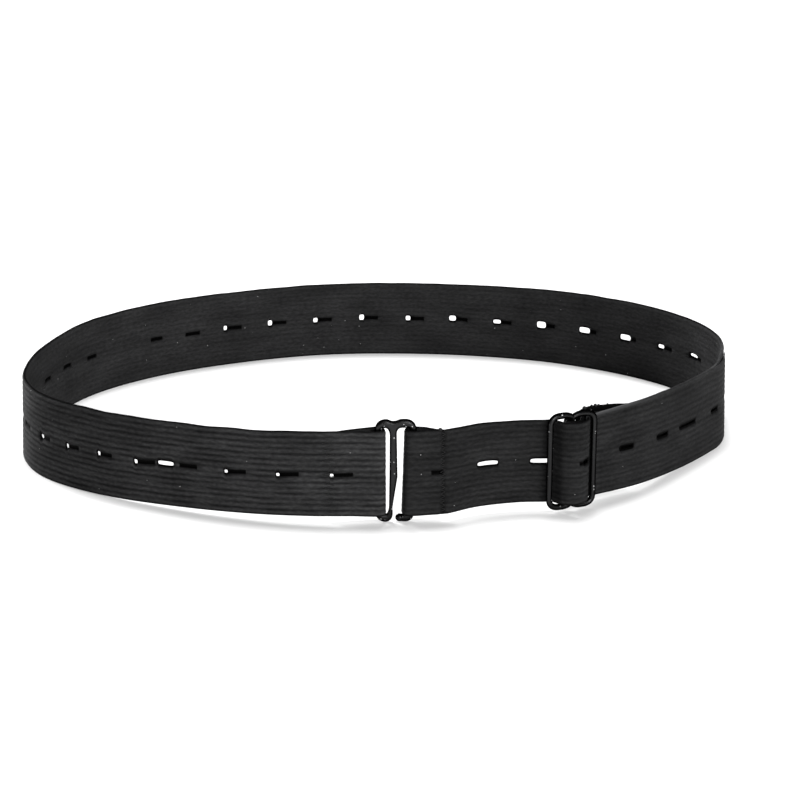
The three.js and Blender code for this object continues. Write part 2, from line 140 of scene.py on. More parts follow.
floor_material, floor_tree, floor_shader = new_material("white_table")
floor_shader.inputs["Roughness"].default_value = 0.9
floor_shader.inputs["Specular IOR Level"].default_value = 0.0
floor_shader.inputs["Emission Strength"].default_value = 1.0
seen = add_node(floor_tree, "ShaderNodeLightPath").outputs["Is Camera Ray"]
floor_colour = mix_colour(floor_tree, seen, FLOOR_CAST, FLOOR_SEEN)
floor_place = add_node(floor_tree, "ShaderNodeTexCoord").outputs["Object"]
far_off = add_node(floor_tree, "ShaderNodeVectorMath", {0: floor_place}, operation="LENGTH")
glow_seen = remap(
    floor_tree, far_off.outputs["Value"], LAMPS_FADE_FROM, LAMPS_FADE_TO, GLOW_HERE, GLOW_FAR_OFF
)
glow = math_node(floor_tree, "MULTIPLY", seen, glow_seen)
floor_tree.links.new(floor_colour, floor_shader.inputs["Base Color"])
floor_tree.links.new(glow, floor_shader.inputs["Emission Color"])
floor.data.materials.append(floor_material)

# %% [markdown]
# A strong light stands behind on the left, so the inside of the right bend is the lightest part
# of the elastic. Three in front light its face. One high overhead whitens the floor, so a shadow
# is left only right under what hangs a little above it. The room around is nearly dark, and only
# the low light is mirrored in the enamel.

# %% The lights
ROOM_SEEN = (1, 1, 1, 1)
ROOM_CAST = (0.05, 0.05, 0.05, 1)
Light = namedtuple("Light", "name place size power in_metal")
LIGHTS = [
    Light("back_left_light", (-1.06, 0.88, 0.8), 0.6, 104, False),
    Light("front_light", (0.98, -0.98, 0.8), 0.6, 40, False),
    Light("fill_light", (0.1, -1.52, 0.4), 0.5, 9, False),
    Light("low_light", (0.53, -1.47, 0.33), 0.5, 5, True),
    Light("top_light", (0, 0.4, 2.5), 0.45, 165, False),
]

world = bpy.data.worlds.new("pale_room")
world.use_nodes = True
room_seen = add_node(world.node_tree, "ShaderNodeLightPath").outputs["Is Camera Ray"]
room = mix_colour(world.node_tree, room_seen, ROOM_CAST, ROOM_SEEN)
world.node_tree.links.new(room, world.node_tree.nodes["Background"].inputs["Color"])
bpy.context.scene.world = world

for light in LIGHTS:
    lamp = bpy.data.objects.new(light.name, bpy.data.lights.new(light.name, "AREA"))
    lamp.data.energy = light.power
    lamp.data.size = light.size
    lamp.location = light.place
    lamp.rotation_euler = (-Vector(light.place)).to_track_quat("-Z", "Y").to_euler()
    lamp.visible_glossy = light.in_metal
    bpy.context.collection.objects.link(lamp)


# %% [markdown]
# ## Where the elastic runs
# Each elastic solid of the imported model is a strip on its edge. Its narrow lower and upper faces
# are two ladders of triangles, and their rungs give the middle line, the way out of the loop and
# the width at every section. Reading them keeps the new elastic where the solid is.

# %% The rungs of one ladder of triangles
ELASTIC_THICKNESS = 1.2
LOWER_FACES_BELOW = 8
UPPER_FACES_ABOVE = 18
LEVEL_NORMAL = 0.9
SAME_PLACE = 1e-6
STRAIGHT = 1e-4
LEAST_LENGTH = 1e-6
Rung = namedtuple("Rung", "middle outward")


def ladder_rungs(faces, start):
    ladder = set(faces)
    shared = lambda face: [e for e in face.edges if ladder.issuperset(e.link_faces)]
    ends = [face for face in faces if len(shared(face)) == 1]
    walk = [min(ends, key=lambda face: (face.calc_center_median() - start).length)]
    while True:
        around = {f for e in shared(walk[-1]) for f in e.link_faces} - set(walk[-2:])
        if not around:
            break
        walk.append(around.pop())
    crossings = [set(a.verts) & set(b.verts) for a, b in zip(walk[1::2], walk[2::2])]
    first = (set(walk[0].verts) | set(walk[1].verts)) - crossings[0]
    last = (set(walk[-1].verts) | set(walk[-2].verts)) - crossings[-1]
    return [tuple(v.co.copy() for v in pair) for pair in [first, *crossings, last]]


def oriented(rungs):
    centres = [(a + b) / 2 for a, b in rungs]
    turned = []
    for i, (a, b) in enumerate(rungs):
        ahead = centres[min(i + 1, len(rungs) - 1)] - centres[max(i - 1, 0)]
        left = Vector((-ahead.y, ahead.x, 0))
        inner, outer = (a, b) if (b - a).dot(left) > 0 else (b, a)
        outward = (outer - inner).normalized()
        turned.append(Rung(inner + outward * ELASTIC_THICKNESS / 2, outward))
    return turned


# %% [markdown]
# Between two sections the middle line is a smooth arc, so a cubic with the tangents of both ends
# follows it closely. Distances are measured along that arc, from the end where the path starts.

# %% The path of a piece of elastic
def arc_length(a, b):
    half_turn = a.outward.angle(b.outward) / 2
    chord = (b.middle - a.middle).length
    return chord * (half_turn / math.sin(half_turn) if half_turn > STRAIGHT else 1)


def along_arc(a, b, share):
    length = arc_length(a, b)
    slope = Vector((0, 0, (b.middle.z - a.middle.z) / max(length, LEAST_LENGTH)))
    tangents = [Vector((r.outward.y, -r.outward.x, 0)) + slope for r in (a, b)]
    u, w = share, 1 - share
    return (
        a.middle * (w * w * (1 + 2 * u))
        + tangents[0] * (u * w * w * length)
        + b.middle * (u * u * (1 + 2 * w))
        - tangents[1] * (u * u * w * length)
    )


class ElasticPath:
    def __init__(self, node, start):
        mesh = bmesh.new()
        mesh.from_mesh(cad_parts[node].data)
        bmesh.ops.remove_doubles(mesh, verts=mesh.verts, dist=SAME_PLACE)
        bmesh.ops.scale(mesh, vec=(1 / MM,) * 3, verts=mesh.verts)
        mesh.normal_update()
        level = lambda face: face.calc_center_median().z
        down = [f for f in mesh.faces if f.normal.z < -LEVEL_NORMAL]
        up = [f for f in mesh.faces if f.normal.z > LEVEL_NORMAL]
        lower = [face for face in down if level(face) < LOWER_FACES_BELOW]
        upper = [face for face in up if level(face) > UPPER_FACES_ABOVE]
        self.lower = oriented(ladder_rungs(lower, start))
        self.upper = oriented(ladder_rungs(upper, start))
        mesh.free()
        self.marks = [0.0]
        for i in range(1, len(self.lower)):
            steps = [arc_length(rail[i - 1], rail[i]) for rail in (self.lower, self.upper)]
            self.marks.append(self.marks[-1] + sum(steps) / 2)
        self.length = self.marks[-1]

    def at(self, distance):
        i = min(max(bisect_right(self.marks, distance), 1), len(self.marks) - 1)
        share = (distance - self.marks[i - 1]) / (self.marks[i] - self.marks[i - 1])
        share = min(max(share, 0), 1)
        low = along_arc(self.lower[i - 1], self.lower[i], share)
        high = along_arc(self.upper[i - 1], self.upper[i], share)
        outward = self.lower[i - 1].outward.lerp(self.lower[i].outward, share).normalized()
        return low, high, outward


# %% Read both paths
low_corner, high_corner = (Vector(corner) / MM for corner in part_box("hook_clasp"))
hook_middle = (low_corner + high_corner) / 2
strap_high = Vector(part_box("front_strap")[1]) / MM
slider_low, slider_high = (Vector(corner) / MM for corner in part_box("slide_adjuster"))
slider_middle = (slider_low + slider_high) / 2
main_path = ElasticPath("main_band", hook_middle)
strap_path = ElasticPath("front_strap", Vector((strap_high.x, strap_high.y, 0)))
print(f"main band {main_path.length:.1f} mm, strap {strap_path.length:.1f} mm along")

# %% [markdown]
# ## The buttonholes
# Buttonhole elastic is woven with a row of slits along its middle. At rest most are shut. Where
# the belt has been buttoned and stretched, one end of a slit gapes as a small oval, and the shut
# rest of it is a dark line. Each row gives one slit, and the stretch of it that is open.

# %% The slits of both pieces
# Middle and length of the slit, middle and length of its open stretch, its height when open, and
# how far the opening lies above the middle of the elastic
Slit = namedtuple("Slit", "middle length open_at open_length gape rise")
SHUT_GAPE = 0.04
END_STEP = 0.25
OVAL_POWER = 4
RISE_REACH = 6


def slit_run(first, step, count, length, open_at, open_length, gape, rise):
    return [
        Slit(first + i * step, length, first + i * step + open_at, open_length, gape, rise)
        for i in range(count)
    ]


MAIN_SLITS = [
    Slit(0.4, 3.4, 0.4, 3.2, 2.0, -0.7),
    *slit_run(29.3, 15, 3, 6.4, 2.6, 0.95, 0.9, -0.35),
    Slit(73.3, 5.2, 0, 0, 0, 0),
    Slit(80.4, 5.2, 80.4, 4.9, 1.2, 0),
    Slit(87.2, 6.8, 90.0, 1.1, 1.2, -0.7),
    *slit_run(100.7, 12.1, 2, 5.2, 2.0, 1.1, 1.25, -0.2),
    Slit(124.9, 5.2, 126.3, 1.6, 1.2, -0.2),
    Slit(137, 5.2, 0, 0, 0, 0),
    *slit_run(150, 13.4, 2, 5, 0, 0, 0, 0),
    *slit_run(176.8, 13.4, 2, 4.6, 0, 0, 0, 1.6),
    *slit_run(203.6, 26.8, 2, 4.2, 0, 0, 0, 0.6),
    Slit(243.8, 5, 0, 0, 0, 0),
    Slit(258.0, 6.2, 255.6, 1.2, 1.5, 0.45),
    Slit(273.65, 6.2, 271.3, 1.5, 1.8, 0.4),
    Slit(289.3, 6.2, 287.0, 1.5, 1.55, 0),
    Slit(304.95, 6.2, 302.7, 1.6, 1.9, 0.5),
    Slit(320.6, 6.2, 318.4, 1.6, 1.6, 0.2),
    Slit(335.4, 6.2, 333.5, 2.3, 1.8, 0.5),
    Slit(350.45, 6.2, 348.7, 2.6, 1.35, 0.1),
    Slit(365.5, 6.2, 364.0, 3.1, 2.2, 0.3),
    Slit(380.55, 6.2, 379.4, 3.8, 1.9, 0.35),
    Slit(395.6, 6.2, 394.6, 3.9, 1.85, 0.4),
    Slit(410.65, 6.2, 408.9, 2.5, 1.25, 0.4),
    Slit(425.2, 6.2, 424.1, 3.6, 0.95, 1.2),
    *slit_run(441.8, 15.2, 6, 6, 0, 0, 0, 0),
]
STRAP_SLITS = [
    Slit(4.9, 5.0, 4.9, 4.6, 0.8, 0),
    Slit(20.4, 4.6, 20.4, 4.2, 0.7, 0),
    Slit(37.2, 9.4, 37.2, 9.0, 0.65, 0),
    Slit(51.2, 6.0, 51.2, 5.6, 0.8, 0),
    Slit(68.1, 6.0, 68.1, 5.6, 0.9, 0),
    Slit(86.4, 6.2, 86.4, 3.6, 1.0, 0),
    Slit(101.2, 6.2, 101.1, 5.9, 1.25, 0.1),
    Slit(116.4, 6.2, 116.3, 6.0, 1.2, 0.4),
    Slit(131.9, 3.2, 0, 0, 0, 0),
]


def half_gape(slit, distance):
    """Half the height of the slit at a distance along the path."""
    from_end = slit.length / 2 - abs(distance - slit.middle)
    tail = SHUT_GAPE / 2 * min(1, max(0, from_end) / END_STEP)
    if not slit.open_length:
        return tail
    share = min(1, abs(distance - slit.open_at) / (slit.open_length / 2))
    return max(tail, slit.gape / 2 * (1 - share**OVAL_POWER) ** (1 / OVAL_POWER))


def rise_at(slit, distance):
    """How far the slit is pushed up, most at its opening."""
    return slit.rise * math.exp(-(((distance - slit.open_at) / RISE_REACH) ** 2))


# %% [markdown]
# ## The elastic
# Corded elastic is a row of covered rubber cores side by side, so its face is ribs and grooves
# that run along it. One way to show them is a bump map, but the grooves catch shade along their
# whole length and show at the cut ends, so they are real. A flat grid gets a column wherever the
# path turns or a slit opens, its middle row is split at the slits, the whole sheet is extruded to
# its thickness, and then it is bent along its path.

# %% Columns of the grid
LONGEST_STEP = 3.0
SHORTEST_STEP = 0.3
COLUMN_TURN = math.radians(8)
OPEN_STEP = 0.4
LEAST_OPEN_STEPS = 6
NEAREST_COLUMNS = 0.05
SEAM_STEP = 0.45
SEAM_STEPS_EACH_WAY = 4
SEAM_WIDTH = 3.6
FLAT_WIDTH = 25 * MM


def divided(path, start, end):
    turn = path.at(start)[2].angle(path.at(end)[2])
    sharp = turn > COLUMN_TURN and end - start > 2 * SHORTEST_STEP
    if end - start <= LONGEST_STEP and not sharp:
        return [end]
    middle = (start + end) / 2
    return divided(path, start, middle) + divided(path, middle, end)


def slit_marks(slit):
    start, end = slit.middle - slit.length / 2, slit.middle + slit.length / 2
    marks = {place + side * END_STEP for place in (start, end) for side in (-1, 0, 1)}
    if slit.open_length:
        steps = max(LEAST_OPEN_STEPS, round(slit.open_length / OPEN_STEP))
        for i in range(steps + 1):
            reach = -math.cos(math.pi * i / steps) * slit.open_length / 2
            marks.add(min(max(slit.open_at + reach, start), end))
    return marks


def column_distances(path, slits, seams):
    marks = {0, path.length}
    for slit in slits:
        marks |= slit_marks(slit)
    for seam in seams:
        steps = range(-SEAM_STEPS_EACH_WAY, SEAM_STEPS_EACH_WAY + 1)
        marks |= {seam.at + i * SEAM_STEP for i in steps}
    marks = {mark for mark in marks if 0 <= mark <= path.length}
    kept = [0]
    for mark in sorted(marks):
        if mark - kept[-1] > NEAREST_COLUMNS:
            kept.append(mark)
    distances = [0]
    for mark in kept[1:]:
        distances += divided(path, distances[-1], mark)
    return distances


# %% The relief of a rib, the rounded selvedge and the lips of a slit
RIB_PITCHES = 15
ROWS_PER_PITCH = 4
ROWS = RIB_PITCHES * ROWS_PER_PITCH
MIDDLE_ROW = ROWS // 2
OUTER_GROOVE = 0.21
INNER_GROOVE = 0.045
GROOVE_SHAPE = (1, 0.35, 0, 0.35)
SELVEDGE_SHAPE = {0: 0.34, 1: 0.12}
LIP_SHAPE = {0: 0.5, 1: 0.42, 2: 0.12}
FLATTENED = 0.8
FOLD_REACH = 0.8
SHARP_FOLD = 0.7


def fold_at(path, distance):
    """How sharply the elastic is folded, from 0 to 1. A sharp fold stretches its ribs flat."""
    before, after = (path.at(distance + side * FOLD_REACH)[2] for side in (-1, 1))
    return min(1, before.angle(after) / SHARP_FOLD)


def surface_height(row, is_outer, beside_slit, fold):
    """How far the face lies out from the middle of the elastic, in millimetres."""
    from_middle = abs(row - MIDDLE_ROW)
    depth = 1 if from_middle <= ROWS_PER_PITCH // 2 else GROOVE_SHAPE[row % ROWS_PER_PITCH]
    sunk = depth * (OUTER_GROOVE if is_outer else INNER_GROOVE) * (1 - FLATTENED * fold)
    sunk = max(sunk, SELVEDGE_SHAPE.get(min(row, ROWS - row), 0))
    if beside_slit:
        sunk = max(sunk, LIP_SHAPE.get(from_middle, 0))
    return (1 if is_outer else -1) * (ELASTIC_THICKNESS / 2 - sunk)


# %% [markdown]
# The split row has two vertices wherever a slit is, one for each lip. The lips move apart by half
# the gape, and the ribs beside them give way less and less. Soft noise makes the ribs and the
# faces wander a little, as woven rubber does, but not the lower edge that the belt stands on. At a
# cut or sewn end the elastic is pressed thinner.
#
# Two attributes go with the mesh for its finish. One tells the outer face from the inner one. The
# other keeps the painted shade of a place: beside a slit, on the selvedge, in the crease of a seam
# and under another layer. Where the upper selvedge gets a painted highlight instead, standing in
# for the light on that edge, it is negative.

# %% Cut the slits into a flat sheet
def flat_sheet(columns):
    sheet = bmesh.new()
    column = sheet.verts.layers.int.new("column")
    row = sheet.verts.layers.int.new("row")
    bmesh.ops.create_grid(sheet, x_segments=columns - 1, y_segments=ROWS, size=1)
    for vert in sheet.verts:
        vert[column] = round((vert.co.x + 1) / 2 * (columns - 1))
        vert[row] = round((vert.co.y + 1) / 2 * ROWS)
    return sheet, column, row


def slit_columns(distances, slits):
    """The slit that each column runs through, by the column's number."""
    slit_of = {}
    for slit in slits:
        for i, distance in enumerate(distances):
            if abs(distance - slit.middle) < slit.length / 2 + NEAREST_COLUMNS:
                slit_of[i] = slit
    return slit_of


def split_slits(sheet, column, row, slit_of):
    cuts = []
    for edge in sheet.edges:
        a, b = edge.verts
        if a[row] == b[row] == MIDDLE_ROW and slit_of.get(a[column]):
            if slit_of.get(a[column]) is slit_of.get(b[column]):
                cuts.append(edge)
    bmesh.ops.split_edges(sheet, edges=cuts)
    lip = sheet.verts.layers.int.new("lip")
    for vert in sheet.verts:
        in_slit = vert[row] == MIDDLE_ROW and slit_of.get(vert[column])
        if in_slit and vert.is_boundary and len(vert.link_faces) <= 2:
            above = sum(face.calc_center_median().y for face in vert.link_faces) > 0
            vert[lip] = 1 if above else -1
    return lip


# %% Bend a sheet along its path
GIVE_REACH = 6.0
RIB_WANDER = 0.17
WANDER_LENGTH = 8.0
WANDER_ACROSS = 3
FINE_WANDER, FINE_WANDER_SCALE = 0.4, 2.7
CALM_ROWS = 6
FACE_WANDER = 0.06
FACE_WANDER_LENGTH = 14
FACE_WANDER_ACROSS = 2
FACE_SEED = 40
NARROWED = 0.06
SEAM_DENT = 0.1
CREASE_REACH = 0.7
CREASE_SHADE = 2.3
CREASE_LEAST = 0.4
LIP_SHADE = {0: 1, 1: 1, 2: 0.1}
SELVEDGE_SHADE = {0: 0.92, 1: 0.3}
SELVEDGE_HIGHLIGHT = {0: 1, 1: 0.6}
Seam = namedtuple("Seam", "at crease")
# How flat the elastic is pressed, how far it swings out, how far its upper edge is pulled up, how
# much painted highlight its upper selvedge gets, and how much painted shade one of its faces gets
# where another layer shades it
Habit = namedtuple("Habit", "pressed swing raised worn shaded")


def bump_at(distance, middle, reach):
    return math.exp(-(((distance - middle) / reach) ** 2))


def pushed_away(vert_row, lip, away, distance, slit):
    """Where a row lies when the slit beside it gapes, in millimetres from the middle."""
    near = max(0, 1 - abs(away) / GIVE_REACH) ** 2
    direction = lip or (away > 0) - (away < 0)
    return away + near * (direction * half_gape(slit, distance) + rise_at(slit, distance))


def wandered(distance, share, seed):
    place = Vector((distance / WANDER_LENGTH, share * WANDER_ACROSS, seed))
    fine = FINE_WANDER * noise.noise(place * FINE_WANDER_SCALE)
    return RIB_WANDER * (noise.noise(place) + fine)


# Painted shade beside a slit, on the selvedge and in a crease; a painted highlight on the upper
# selvedge makes the value negative
def shade_at(row, slit, creases, worn):
    from_middle, from_edge = abs(row - MIDDLE_ROW), min(row, ROWS - row)
    at_lip = LIP_SHADE.get(from_middle, 0) if slit else 0
    edge_highlight_here = worn if row > MIDDLE_ROW else 0
    at_edge = SELVEDGE_SHADE.get(from_edge, 0) * (1 - edge_highlight_here)
    if from_edge in SELVEDGE_HIGHLIGHT and edge_highlight_here:
        return at_edge - edge_highlight_here * SELVEDGE_HIGHLIGHT[from_edge]
    towards_edge = CREASE_LEAST + (1 - CREASE_LEAST) * from_middle / MIDDLE_ROW
    crease = creases * CREASE_SHADE * towards_edge
    return min(1, max(at_lip, at_edge, crease))


def elastic_strip(path, slits, seams, seed, habit):
    """A habit holds functions of the distance along the path."""
    distances = column_distances(path, slits, seams)
    slit_of = slit_columns(distances, slits)
    sheet, column, row = flat_sheet(len(distances))
    lip = split_slits(sheet, column, row, slit_of)
    outer = sheet.verts.layers.int.new("outer")
    grown = bmesh.ops.extrude_face_region(sheet, geom=sheet.faces[:], use_keep_orig=True)
    for item in grown["geom"]:
        if isinstance(item, bmesh.types.BMVert):
            item[outer] = 1
    flat_map = sheet.loops.layers.uv.new("flat")
    side = sheet.verts.layers.float.new("outer_side")
    shade = sheet.verts.layers.float.new("shade")
    stations = [path.at(distance) for distance in distances]
    folds = [fold_at(path, distance) for distance in distances]
    for vert in sheet.verts:
        distance = distances[vert[column]]
        low, high, outward = stations[vert[column]]
        width = (high - low).length
        share = vert[row] / ROWS
        away = (share - 0.5) * width
        slit = slit_of.get(vert[column])
        if slit:
            away = pushed_away(vert[row], vert[lip], away, distance, slit)
        away += wandered(distance, share, seed) * min(1, vert[row] / CALM_ROWS)
        height = surface_height(vert[row], vert[outer], slit is not None, folds[vert[column]])
        height *= 1 - habit.pressed(distance)
        away *= 1 - NARROWED * habit.pressed(distance)
        creases = sum(seam.crease * bump_at(distance, seam.at, CREASE_REACH) for seam in seams)
        dents = sum(bump_at(distance, seam.at, SEAM_WIDTH / 2) for seam in seams)
        height -= (SEAM_DENT * dents + creases) * (1 if vert[outer] else -1)
        calm = 4 * share * (1 - share)
        place = (distance / FACE_WANDER_LENGTH, share * FACE_WANDER_ACROSS, seed + FACE_SEED)
        height += FACE_WANDER * calm * noise.noise(Vector(place))
        height += habit.swing(distance)
        vert.co = low.lerp(high, away / width + 0.5) + outward * height
        vert.co.z += habit.raised(distance) * share**2
        vert[side] = vert[outer]
        vert[shade] = shade_at(vert[row], slit, creases, habit.worn(distance))
        if vert[shade] >= 0:
            vert[shade] = max(vert[shade], habit.shaded(distance, vert[outer]))
    for face in sheet.faces:
        for loop in face.loops:
            vert = loop.vert
            loop[flat_map].uv = (distances[vert[column]] * MM, vert[row] / ROWS * FLAT_WIDTH)
    return sheet


# %% [markdown]
# Every finished piece is handled alike: it was modelled in millimetres in its own place, so it is
# scaled to metres, its faces are turned outwards, it is told which body it rides on and which
# finish it has, and the imported solid it stands for is hidden.

# %% Finish a piece
SMOOTH_BELOW = math.radians(55)


def finish_piece(mesh, name, material, node=None):
    bmesh.ops.scale(mesh, vec=(MM,) * 3, verts=mesh.verts)
    bmesh.ops.recalc_face_normals(mesh, faces=mesh.faces)
    for face in mesh.faces:
        face.smooth = True
    piece = bpy.data.objects.new(name, bpy.data.meshes.new(name))
    mesh.to_mesh(piece.data)
    mesh.free()
    piece.data.set_sharp_from_angle(angle=SMOOTH_BELOW)
    piece.data.materials.append(material)
    bpy.context.collection.objects.link(piece)
    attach(piece, "root")
    if node:
        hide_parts(node)
    triangles = sum(len(polygon.vertices) - 2 for polygon in piece.data.polygons)
    lowest, highest = (pick(vert.co.z for vert in piece.data.vertices) / MM for pick in (min, max))
    print(f"{name}: {triangles} triangles, from {lowest:.2f} to {highest:.2f} mm high")
    return piece


# %% [markdown]
# ## Finishes
# Effects that several finishes share are node groups. The first gives the threads of a covered
# cord: fine turns of yarn across the rib, with a soft unevenness. The second gives a few pale
# specks: lint, which black elastic always catches, and on the enamel painted glints of light.

# %% A helper for node groups
def new_group(name, inputs, outputs):
    tree = bpy.data.node_groups.new(name, "ShaderNodeTree")
    for socket, value in inputs.items():
        made = tree.interface.new_socket(socket, in_out="INPUT", socket_type="NodeSocketFloat")
        made.default_value = value
    for socket in outputs:
        tree.interface.new_socket(socket, in_out="OUTPUT", socket_type="NodeSocketFloat")
    group_in = tree.nodes.new("NodeGroupInput").outputs
    group_out = tree.nodes.new("NodeGroupOutput").inputs
    return tree, group_in, group_out


def add_group(tree, group, **values):
    node = tree.nodes.new("ShaderNodeGroup")
    node.node_tree = group
    for name, value in values.items():
        socket = node.inputs[name]
        if isinstance(value, bpy.types.NodeSocket):
            tree.links.new(value, socket)
        else:
            socket.default_value = value
    return node.outputs


# %% The yarn group
TURN_RELIEF = 0.1

yarn, yarn_in, yarn_out = new_group(
    "yarn",
    {"Along": 0, "Across": 0, "Turn": 0.5 * MM},
    ["Height", "Unevenness", "Flecks", "Fading"],
)


def yarn_noise(along_scale, across_scale, detail):
    """Noise on the flat elastic with its own scale along and across, per metre."""
    stretched = add_node(
        yarn,
        "ShaderNodeCombineXYZ",
        {
            0: math_node(yarn, "MULTIPLY", yarn_in["Along"], along_scale),
            1: math_node(yarn, "MULTIPLY", yarn_in["Across"], across_scale),
        },
    )
    inputs = {"Vector": stretched.outputs[0], "Scale": 1.0, "Detail": detail}
    return add_node(yarn, "ShaderNodeTexNoise", inputs).outputs[0]


fine = yarn_noise(900.0, 1400.0, 2.0)
turns = math_node(yarn, "DIVIDE", yarn_in["Along"], yarn_in["Turn"])
phase = math_node(yarn, "ADD", turns, fine)
wave = math_node(yarn, "SINE", math_node(yarn, "MULTIPLY", phase, math.tau))
yarn.links.new(math_node(yarn, "MULTIPLY_ADD", wave, TURN_RELIEF, fine), yarn_out["Height"])
yarn.links.new(yarn_noise(60.0, 160.0, 4.0), yarn_out["Unevenness"])
yarn.links.new(yarn_noise(700.0, 1700.0, 1.0), yarn_out["Flecks"])
yarn.links.new(yarn_noise(110.0, 420.0, 2.0), yarn_out["Fading"])

# %% The lint and glints group
# Pale specks: lint on the elastic and thread, painted glints of light on the enamel
lint_and_glints, speck_in, speck_out = new_group(
    "lint_and_glints", {"Cell": 2.4 * MM, "Speck": 0.055, "Share": 0.28}, ["Mask"]
)
speck_place = add_node(lint_and_glints, "ShaderNodeTexCoord").outputs["Object"]
speck_scale = math_node(lint_and_glints, "DIVIDE", 1.0, speck_in["Cell"])
spot = add_node(lint_and_glints, "ShaderNodeTexVoronoi", {"Vector": speck_place, "Scale": speck_scale})
chance = add_node(lint_and_glints, "ShaderNodeSeparateColor", {0: spot.outputs["Color"]}).outputs[0]
chosen = math_node(lint_and_glints, "LESS_THAN", chance, speck_in["Share"])
small = math_node(lint_and_glints, "LESS_THAN", spot.outputs["Distance"], speck_in["Speck"])
lint_and_glints.links.new(math_node(lint_and_glints, "MULTIPLY", chosen, small), speck_out["Mask"])

# %% [markdown]
# The elastic's colour follows its own flat map, so the painted groove shade stays on the grooves
# round every fold. Black yarn reflects about two per cent of the light; the darker colour down in
# a groove is painted shade, on top of the real relief. The strap gets a darker tone and fainter
# painted groove shade than the main band, so one function makes both finishes from a tone and a
# strength of the groove shade. The inner face has fainter grooves, and a darker colour that is
# painted shade inside the loop.

# %% Black elastic
CREST_COLOUR = (0.0245, 0.0245, 0.025, 1)
# Painted shade down in a groove
GROOVE_SHADE_COLOUR = (0.0085, 0.0085, 0.0088, 1)
SHADED_COLOUR = (0.0005, 0.0005, 0.0005, 1)
# Painted highlight on a lit upper selvedge
EDGE_HIGHLIGHT_COLOUR = (0.034, 0.034, 0.035, 1)
LINT_COLOUR = (0.2, 0.2, 0.2, 1)
# Painted shade on the inner face, inside the loop
INNER_SHADE_TONE = 0.58
INNER_GROOVE_SHADING = 0.35
TONE_LEAST, TONE_MOST = 0.74, 1.26
# Each of these maps a stretch of a value, its first two numbers, to the other two
GROOVE_SHADE_MAP = (0.08, 0.4, 1.0, 0.0)
FADING_MAP = (0.34, 0.58, 0.3, 1.0)
FLECKS_MAP = (0.3, 0.75, 0.75, 1.3)
EDGE_HIGHLIGHT_MAP = (-1.0, 0.0, 1.0, 0.0)
RIB_PITCH = FLAT_WIDTH / RIB_PITCHES


def vertex_value(tree, name):
    return add_node(tree, "ShaderNodeAttribute", attribute_name=name).outputs["Fac"]


def elastic_material(name, tone, groove_shading):
    material, tree, shader = new_material(name)
    flat = add_node(tree, "ShaderNodeUVMap", uv_map="flat")
    split = add_node(tree, "ShaderNodeSeparateXYZ", {0: flat.outputs[0]})
    along, across = split.outputs[0], split.outputs[1]
    threads = add_group(tree, yarn, Along=along, Across=across)
    in_pitch = math_node(tree, "FRACT", math_node(tree, "DIVIDE", across, RIB_PITCH))
    from_groove = math_node(tree, "PINGPONG", in_pitch, 0.5)
    # The groove's darker colour is painted shade, added to the shade of its real relief
    groove_shade = remap(tree, from_groove, *GROOVE_SHADE_MAP)
    outer_side = vertex_value(tree, "outer_side")
    depth = remap(tree, outer_side, 0.0, 1.0, INNER_GROOVE_SHADING * groove_shading, groove_shading)
    fading = remap(tree, threads["Fading"], *FADING_MAP)
    shade = math_node(tree, "MULTIPLY", math_node(tree, "MULTIPLY", groove_shade, depth), fading)
    ground = mix_colour(tree, shade, CREST_COLOUR, GROOVE_SHADE_COLOUR)
    tones = (TONE_LEAST * tone, TONE_MOST * tone)
    uneven = remap(tree, threads["Unevenness"], 0.3, 0.7, *tones)
    varied = mix_colour(tree, 1.0, ground, uneven, "MULTIPLY")
    flecks = remap(tree, threads["Flecks"], *FLECKS_MAP)
    flecked = mix_colour(tree, 1.0, varied, flecks, "MULTIPLY")
    # A positive shade is painted shade, a negative one a painted highlight on a lit upper selvedge
    shade_value = vertex_value(tree, "shade")
    worn = remap(tree, shade_value, *EDGE_HIGHLIGHT_MAP)
    with_edge_highlight = mix_colour(tree, worn, flecked, EDGE_HIGHLIGHT_COLOUR)
    shaded = mix_colour(tree, shade_value, with_edge_highlight, SHADED_COLOUR)
    # The inner face is darkened as painted shade
    inner_shade = remap(tree, outer_side, 0.0, 1.0, INNER_SHADE_TONE, 1.0)
    toned = mix_colour(tree, 1.0, shaded, inner_shade, "MULTIPLY")
    linted = mix_colour(tree, add_group(tree, lint_and_glints)["Mask"], toned, LINT_COLOUR)
    bump = add_node(
        tree,
        "ShaderNodeBump",
        {"Height": threads["Height"], "Strength": 0.6, "Distance": 0.1 * MM},
    )
    tree.links.new(linted, shader.inputs["Base Color"])
    tree.links.new(bump.outputs[0], shader.inputs["Normal"])
    shader.inputs["Roughness"].default_value = 0.5
    shader.inputs["Specular IOR Level"].default_value = 0.03
    return material


band_elastic = elastic_material("black_elastic", 1.0, 1.0)
strap_elastic = elastic_material("blacker_elastic", 0.5, 0.6)

# %% [markdown]
# Sewing thread is about as black as the strap and shines more. It follows no flat map, so its yarn
# is left to a plain noise on the object's own coordinates.

# %% Black thread
THREAD_COLOUR = (0.011, 0.011, 0.011, 1)

